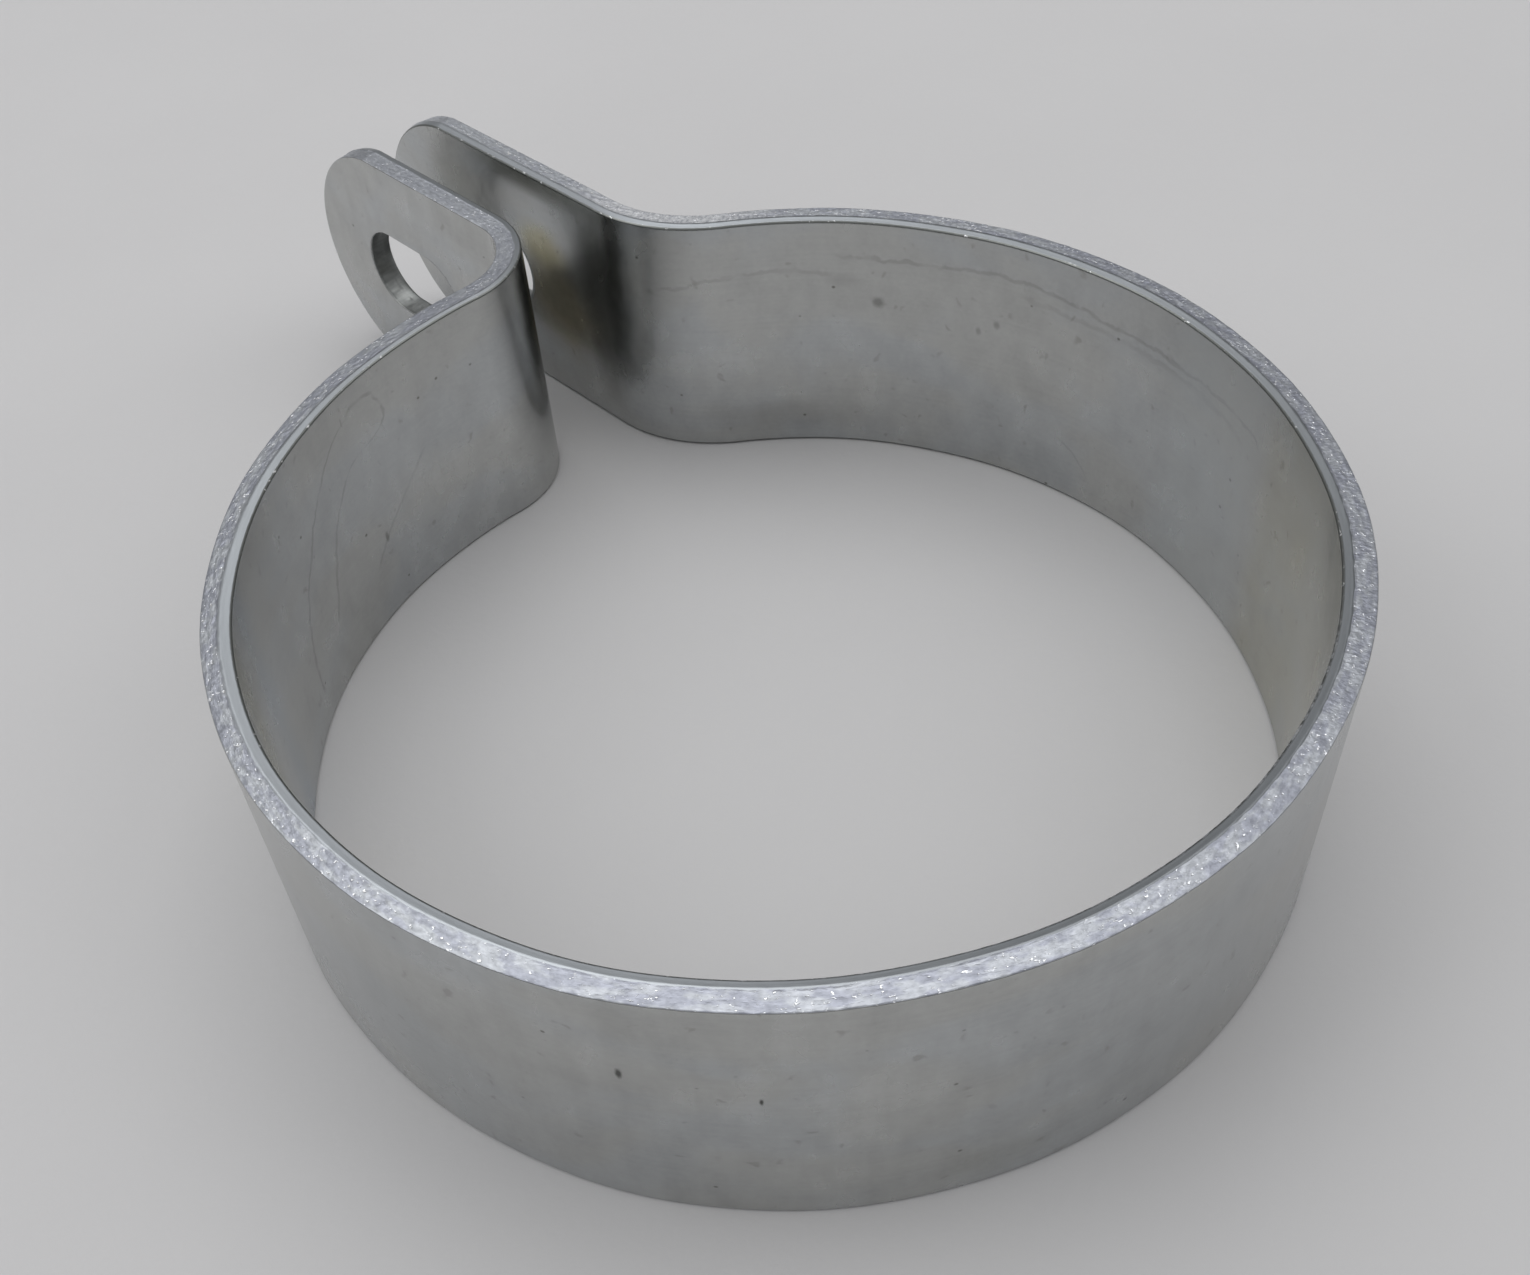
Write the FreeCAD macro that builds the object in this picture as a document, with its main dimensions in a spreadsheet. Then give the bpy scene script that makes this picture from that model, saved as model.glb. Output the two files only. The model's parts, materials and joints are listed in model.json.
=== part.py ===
import FreeCAD, Part
import math
import os

import Sketcher

# A band clamp bent from one flat steel strap: a ring that grips a pipe, and two flat ears that
# a bolt draws together. The ears don't point straight away from the pipe: both lean to one
# side, so the left strap end turns through a tight reverse bend and the right one through a
# wide one.
#
# Frame, in millimetres: the origin is on the pipe's axis at half the strap's width, +Z runs
# along the pipe, +Y is the way the ears point, and +X is the way the bolt goes through them.

NODE = "clamp_band"

DRIVING_DIMENSIONS = (
    ("pipe_diameter", 101.6, "outside diameter of the pipe in the ring"),
    ("strap_thickness", 3.0, "thickness of the strap"),
    ("strap_width", 31.75, "width of the strap, along the pipe"),
    ("edge_rounding", 0.3, "radius along the strap's four long edges"),
    ("gap_offset", 20.8, "from the pipe's axis to the middle of the gap, along X"),
    ("ear_gap", 8.0, "between the two ears"),
    ("ear_reach", 100.5, "from the pipe's axis to the left ear's tip, along Y"),
    ("ear_stagger", 1.1, "how far the right ear's tip stops short of the left one's"),
    ("tip_radius", 16.0, "radius of the rounded ear tips"),
    ("left_bend_radius", 8.5, "inside radius of the tight bend into the left ear"),
    ("right_bend_radius", 16.0, "inside radius of the wide bend into the right ear"),
    ("slot_setback", 20.1, "from an ear's tip to the middle of its bolt slot"),
    ("slot_width", 11.0, "width of the bolt slots"),
    ("slot_length", 19.0, "length of the bolt slots, end to end"),
)

# How far each ear's tip is from the pipe's axis, as a formula over the spreadsheet.
EAR_REACH = {
    "left": "dimensions.ear_reach",
    "right": "dimensions.ear_reach - dimensions.ear_stagger",
}

# Ends of a sketch element, as the sketcher numbers them.
START, END, CENTRE = 1, 2, 3
# The sketch's own origin and horizontal axis, as the sketcher numbers them.
ORIGIN, ROOT_POINT, HORIZONTAL_AXIS = -1, 1, -1

UP = FreeCAD.Vector(0, 0, 1)


def fill_sheet(doc):
    """Write the driving dimensions into the spreadsheet, one row each, with an alias."""
    sheet = doc.addObject("Spreadsheet::Sheet", "dimensions")
    for row, (name, value, meaning) in enumerate(DRIVING_DIMENSIONS, start=1):
        sheet.set(f"A{row}", meaning)
        sheet.set(f"B{row}", str(value))
        sheet.setAlias(f"B{row}", name)
    doc.recompute()
    return sheet


def new_sketch(body, name, plane_role):
    """An empty sketch on one of the body's own origin planes."""
    plane = next(item for item in body.Origin.OriginFeatures if item.Role == plane_role)
    sketch = body.newObject("Sketcher::SketchObject", name)
    sketch.AttachmentSupport = [(plane, "")]
    sketch.MapMode = "FlatFace"
    return sketch


def arc(centre, radius, from_angle, to_angle):
    """A counter-clockwise arc in a sketch's plane, with its angles in radians."""
    circle = Part.Circle(FreeCAD.Vector(centre[0], centre[1], 0), UP, radius)
    return Part.ArcOfCircle(circle, from_angle, to_angle)


def line(start, end):
    """A straight segment in a sketch's plane."""
    return Part.LineSegment(FreeCAD.Vector(*start, 0), FreeCAD.Vector(*end, 0))


def constrain(sketch, kind, *where):
    """Add a constraint that has no size of its own."""
    return sketch.addConstraint(Sketcher.Constraint(kind, *where))


def dimension(sketch, name, expression, kind, *where):
    """Add a named sizing constraint and bind it to the spreadsheet."""
    index = sketch.addConstraint(Sketcher.Constraint(kind, *where))
    sketch.renameConstraint(index, name)
    sketch.setExpression(f"Constraints.{name}", expression)


def bend_centre(ring_radius, bend_radius, face_x, side):
    """Centre of a bend that touches the ring's inner face and an ear's gap-side face.

    side is -1 for the left ear, whose bend lies on the -X side of its face, and 1 for the right.
    """
    x = face_x + side * bend_radius
    return x, math.sqrt((ring_radius + bend_radius) ** 2 - x ** 2)


def draw_strap_plan(body, sheet):
    """The strap's outline seen along the pipe: ring, two reverse bends and two ears."""
    thick = sheet.strap_thickness
    inner = sheet.pipe_diameter / 2
    outer = inner + thick
    left_reach = sheet.ear_reach
    right_reach = left_reach - sheet.ear_stagger
    left_face = sheet.gap_offset - sheet.ear_gap / 2
    right_face = sheet.gap_offset + sheet.ear_gap / 2
    left_convex = sheet.left_bend_radius + thick
    right_convex = sheet.right_bend_radius + thick
    left = bend_centre(inner, left_convex, left_face, -1)
    right = bend_centre(inner, right_convex, right_face, 1)
    left_angle = math.atan2(left[1], left[0])
    right_angle = math.atan2(right[1], right[0])
    full_turn = 2 * math.pi

    sketch = new_sketch(body, "strap_plan", "XY_Plane")
    elements = (
        arc((0, 0), inner, left_angle, right_angle + full_turn),
        arc(left, left_convex, left_angle + math.pi, full_turn),
        line((left_face, left[1]), (left_face, left_reach)),
        line((left_face, left_reach), (left_face - thick, left_reach)),
        line((left_face - thick, left_reach), (left_face - thick, left[1])),
        arc(left, left_convex - thick, left_angle + math.pi, full_turn),
        arc((0, 0), outer, left_angle, right_angle + full_turn),
        arc(right, right_convex - thick, math.pi, right_angle + math.pi),
        line((right_face + thick, right[1]), (right_face + thick, right_reach)),
        line((right_face + thick, right_reach), (right_face, right_reach)),
        line((right_face, right_reach), (right_face, right[1])),
        arc(right, right_convex, math.pi, right_angle + math.pi),
    )
    (
        ring_inside, left_bend_outside, left_gap_face, left_tip, left_back_face, left_bend_inside,
        ring_outside, right_bend_inside, right_back_face, right_tip, right_gap_face,
        right_bend_outside,
    ) = (sketch.addGeometry(element) for element in elements)

    constrain(sketch, "Coincident", ring_inside, CENTRE, ORIGIN, ROOT_POINT)
    constrain(sketch, "Coincident", ring_outside, CENTRE, ORIGIN, ROOT_POINT)
    constrain(sketch, "Coincident", left_bend_inside, CENTRE, left_bend_outside, CENTRE)
    constrain(sketch, "Coincident", right_bend_inside, CENTRE, right_bend_outside, CENTRE)
    smooth_joints = (
        (ring_inside, START, left_bend_outside, START),
        (left_bend_outside, END, left_gap_face, START),
        (left_back_face, END, left_bend_inside, END),
        (left_bend_inside, START, ring_outside, START),
        (ring_inside, END, right_bend_outside, END),
        (right_bend_outside, START, right_gap_face, END),
        (right_back_face, START, right_bend_inside, START),
        (right_bend_inside, END, ring_outside, END),
    )
    for joint in smooth_joints:
        constrain(sketch, "Tangent", *joint)
    square_joints = (
        (left_gap_face, END, left_tip, START),
        (left_tip, END, left_back_face, START),
        (right_back_face, END, right_tip, START),
        (right_tip, END, right_gap_face, START),
    )
    for joint in square_joints:
        constrain(sketch, "Coincident", *joint)
    for face in (left_gap_face, left_back_face, right_gap_face, right_back_face):
        constrain(sketch, "Vertical", face)
    for tip in (left_tip, right_tip):
        constrain(sketch, "Horizontal", tip)

    thickness = "dimensions.strap_thickness"
    dimension(sketch, "inside_radius", "dimensions.pipe_diameter / 2",
              "Radius", ring_inside, inner)
    dimension(sketch, "outside_radius", f"dimensions.pipe_diameter / 2 + {thickness}",
              "Radius", ring_outside, outer)
    dimension(sketch, "left_bend", f"dimensions.left_bend_radius + {thickness}",
              "Radius", left_bend_outside, left_convex)
    dimension(sketch, "right_bend", f"dimensions.right_bend_radius + {thickness}",
              "Radius", right_bend_outside, right_convex)
    dimension(sketch, "left_face", "dimensions.gap_offset - dimensions.ear_gap / 2",
              "DistanceX", ORIGIN, ROOT_POINT, left_gap_face, END, left_face)
    dimension(sketch, "right_face", "dimensions.gap_offset + dimensions.ear_gap / 2",
              "DistanceX", ORIGIN, ROOT_POINT, right_gap_face, START, right_face)
    dimension(sketch, "left_reach", EAR_REACH["left"],
              "DistanceY", ORIGIN, ROOT_POINT, left_gap_face, END, left_reach)
    dimension(sketch, "right_reach", EAR_REACH["right"],
              "DistanceY", ORIGIN, ROOT_POINT, right_gap_face, START, right_reach)
    return sketch


def gap_plane_sketch(body, name):
    """An empty sketch on the plane between the two ears, its own X axis along the ears."""
    sketch = new_sketch(body, name, "YZ_Plane")
    sketch.setExpression("AttachmentOffset.Base.z", "dimensions.gap_offset")
    return sketch


def draw_tip_waste(body, sheet, ear, reach):
    """What is cut off an ear to round its tip, seen along X: all that lies outside one arc."""
    radius = sheet.tip_radius
    centre = reach - radius
    beyond = reach + sheet.strap_thickness

    sketch = gap_plane_sketch(body, f"{ear}_tip_waste")
    elements = (
        arc((centre, 0), radius, -math.pi / 2, math.pi / 2),
        line((centre, radius), (beyond, radius)),
        line((beyond, radius), (beyond, -radius)),
        line((beyond, -radius), (centre, -radius)),
    )
    round_end, upper, far, lower = (sketch.addGeometry(element) for element in elements)
    constrain(sketch, "Tangent", round_end, END, upper, START)
    constrain(sketch, "Coincident", upper, END, far, START)
    constrain(sketch, "Coincident", far, END, lower, START)
    constrain(sketch, "Tangent", lower, END, round_end, START)
    constrain(sketch, "Horizontal", upper)
    constrain(sketch, "Horizontal", lower)
    constrain(sketch, "Vertical", far)
    constrain(sketch, "PointOnObject", round_end, CENTRE, HORIZONTAL_AXIS)
    dimension(sketch, "radius", "dimensions.tip_radius", "Radius", round_end, radius)
    dimension(sketch, "centre", f"{EAR_REACH[ear]} - dimensions.tip_radius",
              "DistanceX", ORIGIN, ROOT_POINT, round_end, CENTRE, centre)
    dimension(sketch, "beyond", f"{EAR_REACH[ear]} + dimensions.strap_thickness",
              "DistanceX", ORIGIN, ROOT_POINT, upper, END, beyond)
    return sketch


def draw_slot(body, sheet, ear, reach):
    """An ear's bolt slot, seen along X: two half circles joined by straight sides along Y."""
    radius = sheet.slot_width / 2
    half_straight = (sheet.slot_length - sheet.slot_width) / 2
    middle = reach - sheet.slot_setback
    low = middle - half_straight
    high = middle + half_straight

    sketch = gap_plane_sketch(body, f"{ear}_slot_outline")
    elements = (
        arc((high, 0), radius, -math.pi / 2, math.pi / 2),
        line((high, radius), (low, radius)),
        arc((low, 0), radius, math.pi / 2, 3 * math.pi / 2),
        line((low, -radius), (high, -radius)),
    )
    tip_end, upper, ring_end, lower = (sketch.addGeometry(element) for element in elements)
    constrain(sketch, "Tangent", tip_end, END, upper, START)
    constrain(sketch, "Tangent", upper, END, ring_end, START)
    constrain(sketch, "Tangent", ring_end, END, lower, START)
    constrain(sketch, "Tangent", lower, END, tip_end, START)
    constrain(sketch, "PointOnObject", tip_end, CENTRE, HORIZONTAL_AXIS)
    constrain(sketch, "PointOnObject", ring_end, CENTRE, HORIZONTAL_AXIS)
    slot_middle = f"{EAR_REACH[ear]} - dimensions.slot_setback"
    straight = "(dimensions.slot_length - dimensions.slot_width) / 2"
    dimension(sketch, "radius", "dimensions.slot_width / 2", "Radius", tip_end, radius)
    dimension(sketch, "tip_end", f"{slot_middle} + {straight}",
              "DistanceX", ORIGIN, ROOT_POINT, tip_end, CENTRE, high)
    dimension(sketch, "ring_end", f"{slot_middle} - {straight}",
              "DistanceX", ORIGIN, ROOT_POINT, ring_end, CENTRE, low)
    return sketch


def long_edges(shape, half_width):
    """Names of the edges that run along the strap, on its upper and lower faces.

    The short edges across the strap's thickness at the ear tips are left out.
    """
    names = []
    for number, edge in enumerate(shape.Edges, start=1):
        box = edge.BoundBox
        level = abs(abs(box.ZMin) - half_width) < 1e-6 and box.ZLength < 1e-6
        across = isinstance(edge.Curve, Part.Line) and box.YLength < 1e-6
        if level and not across:
            names.append(f"Edge{number}")
    return names


def cut_ear(doc, body, sketch, ear, name):
    """Cut a sketch on the plane between the ears outwards, through one ear only."""
    before = body.Shape.Volume
    pocket = body.newObject("PartDesign::Pocket", f"{ear}_{name}")
    pocket.Profile = sketch
    pocket.Type = "ThroughAll"
    pocket.Reversed = ear == "right"
    sketch.Visibility = False
    doc.recompute()
    if not body.Shape.Volume < before - 1:
        raise RuntimeError(f"{pocket.Name} removed nothing")


def build_clamp_band(doc, sheet):
    """The whole clamp: one strap, bent, rounded at the ear tips and slotted for the bolt."""
    body = doc.addObject("PartDesign::Body", NODE)
    body.Label = NODE
    plan = draw_strap_plan(body, sheet)
    doc.recompute()

    strap = body.newObject("PartDesign::Pad", "bent_strap")
    strap.Profile = plan
    strap.SideType = "Symmetric"
    strap.setExpression("Length", "dimensions.strap_width")
    plan.Visibility = False
    doc.recompute()

    rounding = body.newObject("PartDesign::Fillet", "rounded_edges")
    rounding.Base = (strap, long_edges(strap.Shape, sheet.strap_width / 2))
    rounding.setExpression("Radius", "dimensions.edge_rounding")
    doc.recompute()

    reaches = {"left": sheet.ear_reach, "right": sheet.ear_reach - sheet.ear_stagger}
    for ear, reach in reaches.items():
        cut_ear(doc, body, draw_tip_waste(body, sheet, ear, reach), ear, "round_tip")
        cut_ear(doc, body, draw_slot(body, sheet, ear, reach), ear, "bolt_slot")
    return body


def check(doc, body):
    """Stop if any object failed to recompute or the clamp isn't one valid solid."""
    for item in doc.Objects:
        if "Invalid" in item.State or "Error" in item.State:
            raise RuntimeError(f"{item.Name}: {item.State}")
    shape = body.Shape
    if shape.isNull() or not shape.isValid() or len(shape.Solids) != 1:
        raise RuntimeError(f"{body.Label} isn't one valid solid")


def main():
    os.makedirs("parts", exist_ok=True)
    doc = FreeCAD.newDocument("pipe_band_clamp")
    sheet = fill_sheet(doc)
    body = build_clamp_band(doc, sheet)
    doc.recompute()
    check(doc, body)
    body.Shape.exportStep(f"parts/{body.Label}.step")


main()
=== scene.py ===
"""Looks of a pipe band clamp: one zinc-plated strap bent into an open ring with two slotted ears."""

import json
import math

import bpy
import numpy as np
from mathutils import Matrix, Vector


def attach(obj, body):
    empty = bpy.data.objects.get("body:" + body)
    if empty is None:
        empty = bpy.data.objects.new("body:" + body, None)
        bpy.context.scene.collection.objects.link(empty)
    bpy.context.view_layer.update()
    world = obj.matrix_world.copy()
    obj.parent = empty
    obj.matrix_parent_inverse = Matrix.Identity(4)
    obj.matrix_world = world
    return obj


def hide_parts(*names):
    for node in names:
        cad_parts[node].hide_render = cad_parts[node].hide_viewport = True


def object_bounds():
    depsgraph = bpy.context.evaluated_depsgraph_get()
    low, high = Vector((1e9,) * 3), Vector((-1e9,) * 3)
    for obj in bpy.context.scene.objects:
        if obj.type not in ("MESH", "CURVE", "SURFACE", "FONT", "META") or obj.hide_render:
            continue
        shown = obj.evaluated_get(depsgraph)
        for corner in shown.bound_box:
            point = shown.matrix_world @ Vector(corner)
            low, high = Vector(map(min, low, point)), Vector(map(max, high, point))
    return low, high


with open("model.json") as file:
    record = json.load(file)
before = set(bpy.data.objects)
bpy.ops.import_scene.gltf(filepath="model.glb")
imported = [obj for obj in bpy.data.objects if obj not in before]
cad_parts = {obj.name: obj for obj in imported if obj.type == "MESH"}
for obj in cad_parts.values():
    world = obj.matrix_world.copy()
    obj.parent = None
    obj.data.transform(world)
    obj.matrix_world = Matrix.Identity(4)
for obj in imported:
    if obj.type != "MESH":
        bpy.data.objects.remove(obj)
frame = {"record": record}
cad_low, cad_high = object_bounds()

# ---------------------------------------------------------------- sizes, in metres

MM = 0.001
MOUNTS = {mount["name"]: mount for mount in frame["record"]["mounts"]}
SLOT_DIMS = MOUNTS["bolt_slots"]["dims"]

PIPE_RADIUS = MOUNTS["pipe"]["dims"]["r_mm"] * MM
EAR_GAP = 8.0 * MM
THICKNESS = (SLOT_DIMS["length_mm"] * MM - EAR_GAP) / 2
HALF_WIDTH = (cad_high.z - cad_low.z) / 2
GAP_X = MOUNTS["bolt_slots"]["pos_m"][0]
SLOT_RADIUS = SLOT_DIMS["hole_r_mm"] * MM
SLOT_HALF_RUN = SLOT_DIMS["slot_length_mm"] * MM / 2 - SLOT_RADIUS

EAR_STAGGER = 1.1 * MM  # how much further out the left ear reaches
TIP_RADIUS = 16.0 * MM
SLOT_SETBACK = 20.1 * MM  # from an ear's tip to its slot's centre
LEFT_BEND = 8.5 * MM  # radius on the strap's outer face
RIGHT_BEND = 16.0 * MM

# The strap's sheared edge, from the pipe-side face: a rounded corner, a smooth land, then torn metal.
# Depths are measured through the strap, and insets in from its long edges.
FACE_MARGIN = 0.9 * MM
FACE_LOOP = 0.6 * MM  # inset of one more row of vertices, which keeps the broad faces flat
INNER_CORNER = 0.3 * MM
LAND_END = 0.98 * MM
LAND_TILT = math.radians(11)
BREAK_START = 1.06 * MM
BREAK_DROP = 0.05 * MM
BREAK_TILT = math.radians(3.5)
BREAK_ROUGHNESS = 0.05 * MM
LAND_LINE_WOBBLE = 0.066 * MM
LEAST_INSET = 0.004 * MM
OUTER_CORNER = 0.2 * MM
BREAK_END = THICKNESS - OUTER_CORNER

# Share of its usual width that the land takes, by distance along the strap in millimetres, as read
# off the photo.
LAND_WIDTHS = [
    (0, 1.0), (42, 0.8), (58, 0.5), (72, 0.62), (90, 1.15), (112, 1.45), (150, 1.3), (185, 1.0), (408, 1.0),
]

# The wall of a punched slot, as (how much wider than the slot, depth), in millimetres.
WALL_LAND = [
    (0.28, 0.0), (0.13, 0.06), (0.05, 0.15), (0.01, 0.3), (0.0, 0.6), (0.0, 0.9), (0.0, 1.15),
]
WALL_TORN_DEPTHS = (1.3, 2.8)
WALL_TORN_STEP = 0.05
WALL_TORN_TAPER = 0.03
WALL_CORNER = (0.14, 2.92)
WALL_EXIT = 0.24
WALL_ROUGHNESS = 0.03

# Slight waves in the strap, such as bending rolls leave: (height, reach of one radian, phase), lengths
# in millimetres.
ROLL_WAVES = ((0.030, 2.9, 0.4), (0.045, 6.7, 1.1))
ROLL_FADE = 20.0 * MM

# Mesh density.
EDGE_STEP = 0.24 * MM
FACE_ROWS = 20
CORNER_ROWS = 7
BREAK_ROWS = 13
OUTER_CORNER_ROWS = 5
WALL_TORN_ROWS = 9
EAR_RINGS = 10
EAR_RING_CROWDING = 0.9  # below 1, an ear's rings crowd toward its slot
EAR_SPLIT = 34.0 * MM  # from an ear's tip to where its own mesh meets the ring's
SLOT_MARGIN = 0.6 * MM  # from a slot's edge to the first ring round it

FLOOR_SIZE = 6.0

# ---------------------------------------------------------------- the strap's line in plan


def bend_centre(face_x, away, convex_radius):
    """Centre of the bend between the ring and an ear whose gap face is at face_x."""
    x = face_x + away * convex_radius
    y = math.sqrt((PIPE_RADIUS + convex_radius) ** 2 - x * x)
    return x, y


class StrapLine:
    """The pipe-side face in plan, by distance s from the left ear's tip to the right ear's tip.

    A line holds its length, first point, direction and back normal; an arc holds its length,
    centre, radius, first angle and turn.
    """

    def __init__(self):
        left_face = GAP_X - EAR_GAP / 2
        right_face = GAP_X + EAR_GAP / 2
        left_tip = cad_high.y
        right_tip = left_tip - EAR_STAGGER
        left_convex = LEFT_BEND + THICKNESS
        right_convex = RIGHT_BEND + THICKNESS
        left_x, left_y = bend_centre(left_face, -1, left_convex)
        right_x, right_y = bend_centre(right_face, 1, right_convex)
        ring_start = math.atan2(left_y, left_x)
        ring_end = math.atan2(right_y, right_x) + 2 * math.pi
        self.parts = [
            ("line", left_tip - left_y, (left_face, left_tip), (0, -1), (-1, 0)),
            ("arc", (math.pi - ring_start) * left_convex, (left_x, left_y), left_convex, 0.0, -1),
            ("arc", (ring_end - ring_start) * PIPE_RADIUS, (0, 0), PIPE_RADIUS, ring_start, 1),
            (
                "arc", (ring_end - 2 * math.pi) * right_convex, (right_x, right_y), right_convex,
                ring_end - math.pi, -1,
            ),
            ("line", right_tip - right_y, (right_face, right_y), (0, 1), (1, 0)),
        ]
        self.length = sum(part[1] for part in self.parts)

    def at(self, s):
        """Points and back-pointing normals at distances s."""
        s = np.asarray(s, float)
        point = np.zeros((len(s), 2))
        back = np.zeros((len(s), 2))
        start = 0.0
        for number, part in enumerate(self.parts):
            last = number == len(self.parts) - 1
            inside = (s >= start) & ((s < start + part[1]) | last) if number else s < part[1]
            run = s[inside] - start
            if part[0] == "line":
                _, _, origin, direction, normal = part
                point[inside] = np.array(origin) + run[:, None] * np.array(direction)
                back[inside] = np.array(normal)
            else:
                _, _, centre, radius, first, turn = part
                angle = first + turn * run / radius
                spoke = np.stack([np.cos(angle), np.sin(angle)], 1)
                point[inside] = np.array(centre) + radius * spoke
                back[inside] = spoke * turn
            start += part[1]
        return point, back


LINE = StrapLine()

# ---------------------------------------------------------------- noise for real geometry


def hashed(cells, seed):
    """A fixed pseudo-random number from 0 to 1 for each row of whole-number cells."""
    mixed = (cells[:, 0] * 374761393 + cells[:, 1] * 668265263 + seed * 2246822519) & 0xFFFFFFFF
    mixed = ((mixed ^ (mixed >> 13)) * 1274126177) & 0xFFFFFFFF
    return ((mixed ^ (mixed >> 16)) & 0xFFFF) / 65535.0


def value_noise(a, b, size_a, size_b, seed):
    """Smooth noise from -1 to 1 over two coordinates, with cells size_a by size_b."""
    p, q = a / size_a, b / size_b
    i, j = np.floor(p).astype(np.int64), np.floor(q).astype(np.int64)
    f, g = p - i, q - j
    f, g = f * f * (3 - 2 * f), g * g * (3 - 2 * g)
    corner = [[hashed(np.stack([i + di, j + dj], 1), seed) for dj in (0, 1)] for di in (0, 1)]
    low = corner[0][0] * (1 - g) + corner[0][1] * g
    high = corner[1][0] * (1 - g) + corner[1][1] * g
    return (low * (1 - f) + high * f) * 2 - 1


# ---------------------------------------------------------------- the strap's flat pattern


def tip_angle(inset):
    """Half angle of an ear's rounded end, as far as the strap's long edges."""
    return math.asin((HALF_WIDTH - inset) / (TIP_RADIUS - inset))


def steps(length):
    return max(2, round(length / EDGE_STEP))


EAR_EDGE = EAR_SPLIT - TIP_RADIUS + (TIP_RADIUS * math.cos(tip_angle(0)))
N_EAR_EDGE = steps(EAR_EDGE)
N_MAIN = steps(LINE.length - 2 * EAR_SPLIT)
N_TIP = steps(2 * TIP_RADIUS * tip_angle(0))


def long_edge(inset):
    """Distances along a long edge, from the left tip's arc to the right tip's."""
    end = TIP_RADIUS - (TIP_RADIUS - inset) * math.cos(tip_angle(inset))
    left = np.linspace(end, EAR_SPLIT, N_EAR_EDGE + 1)
    main = np.linspace(EAR_SPLIT, LINE.length - EAR_SPLIT, N_MAIN + 1)
    right = LINE.length - left[::-1]
    return np.concatenate([left, main[1:], right[1:]])


def outline(inset):
    """The flat pattern's closed outline, inset by a distance: (s, z) for each station."""
    s = long_edge(inset)
    z = HALF_WIDTH - inset
    sweep = np.linspace(tip_angle(inset), -tip_angle(inset), N_TIP + 1)[1:-1]
    radius = TIP_RADIUS - inset
    right = np.stack([LINE.length - TIP_RADIUS + radius * np.cos(sweep), radius * np.sin(sweep)], 1)
    left = np.stack([TIP_RADIUS - radius * np.cos(sweep), -radius * np.sin(sweep)], 1)
    top = np.stack([s, np.full(len(s), z)], 1)
    bottom = np.stack([s[::-1], np.full(len(s), -z)], 1)
    return np.concatenate([top, right, bottom, left])


def slot_outline(centre, toward, offset):
    """Points of a slot's outline, grown by offset, on the rays from its centre toward some points."""
    ray = toward - np.array([centre, 0.0])
    ray /= np.linalg.norm(ray, axis=1)[:, None]
    reach = SLOT_HALF_RUN
    on_side = np.abs(ray[:, 0]) * SLOT_RADIUS <= reach * np.abs(ray[:, 1])
    side = SLOT_RADIUS / np.maximum(np.abs(ray[:, 1]), 1e-9)
    end = reach * np.abs(ray[:, 0]) + np.sqrt(np.maximum(SLOT_RADIUS**2 - (reach * ray[:, 1]) ** 2, 0))
    base = ray * np.where(on_side, side, end)[:, None]
    nearest = np.stack([np.clip(base[:, 0], -reach, reach), np.zeros(len(base))], 1)
    out = base - nearest
    out /= np.linalg.norm(out, axis=1)[:, None]
    return base + out * offset + np.array([centre, 0.0])


# ---------------------------------------------------------------- mesh building


class Builder:
    """Collects vertices given in the flat pattern as (s, z, depth from the pipe-side face)."""

    def __init__(self):
        self.flat = []
        self.faces = []
        self.zones = []
        self.count = 0

    def add(self, points):
        first = self.count
        self.flat.append(points)
        self.count += len(points)
        return np.arange(first, self.count)

    def quads(self, a, b, zone, closed=False, flip=False):
        """Joins two rows of vertices with quads."""
        if closed:
            a = np.append(a, a[0])
            b = np.append(b, b[0])
        block = np.stack([a[:-1], a[1:], b[1:], b[:-1]], 1)
        if flip:
            block = block[:, ::-1]
        self.faces.append(block)
        self.zones.append(np.full(len(block), zone))


FACE_IN, FACE_OUT, LAND, BREAK, WALL = range(5)


def edge_profile():
    """(inset, depth, zone) of the sheared edge, from the pipe-side face to the outer face."""
    rows = [(FACE_MARGIN, 0.0, FACE_IN), (FACE_LOOP, 0.0, FACE_IN)]
    land_inset = (LAND_END - INNER_CORNER) * math.tan(LAND_TILT)
    for angle in np.linspace(0, math.pi / 2, CORNER_ROWS):
        inset = land_inset + INNER_CORNER * (1 - math.sin(angle))
        rows.append((inset, INNER_CORNER * (1 - math.cos(angle)), FACE_IN if angle < 0.5 else LAND))
    for share in (0.33, 0.66, 1.0):
        rows.append((land_inset * (1 - share), INNER_CORNER + (LAND_END - INNER_CORNER) * share, LAND))
    for depth in np.linspace(BREAK_START, BREAK_END, BREAK_ROWS):
        rows.append((BREAK_DROP + (depth - BREAK_START) * math.tan(BREAK_TILT), depth, BREAK))
    last = rows[-1][0]
    for angle in np.linspace(math.pi / 2, 0, OUTER_CORNER_ROWS)[1:]:
        inset = last + OUTER_CORNER * (1 - math.sin(angle))
        depth = THICKNESS - OUTER_CORNER * (1 - math.cos(angle))
        rows.append((inset, depth, BREAK if angle > 0.6 else FACE_OUT))
    rows += [(FACE_LOOP, THICKNESS, FACE_OUT), (FACE_MARGIN, THICKNESS, FACE_OUT)]
    return rows


def perimeter_distance():
    """Distance round the flat pattern's outline, for each station."""
    points = outline(0.0)
    gaps = np.linalg.norm(np.diff(points, axis=0, append=points[:1]), axis=1)
    return np.concatenate([[0.0], np.cumsum(gaps)[:-1]])


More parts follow.
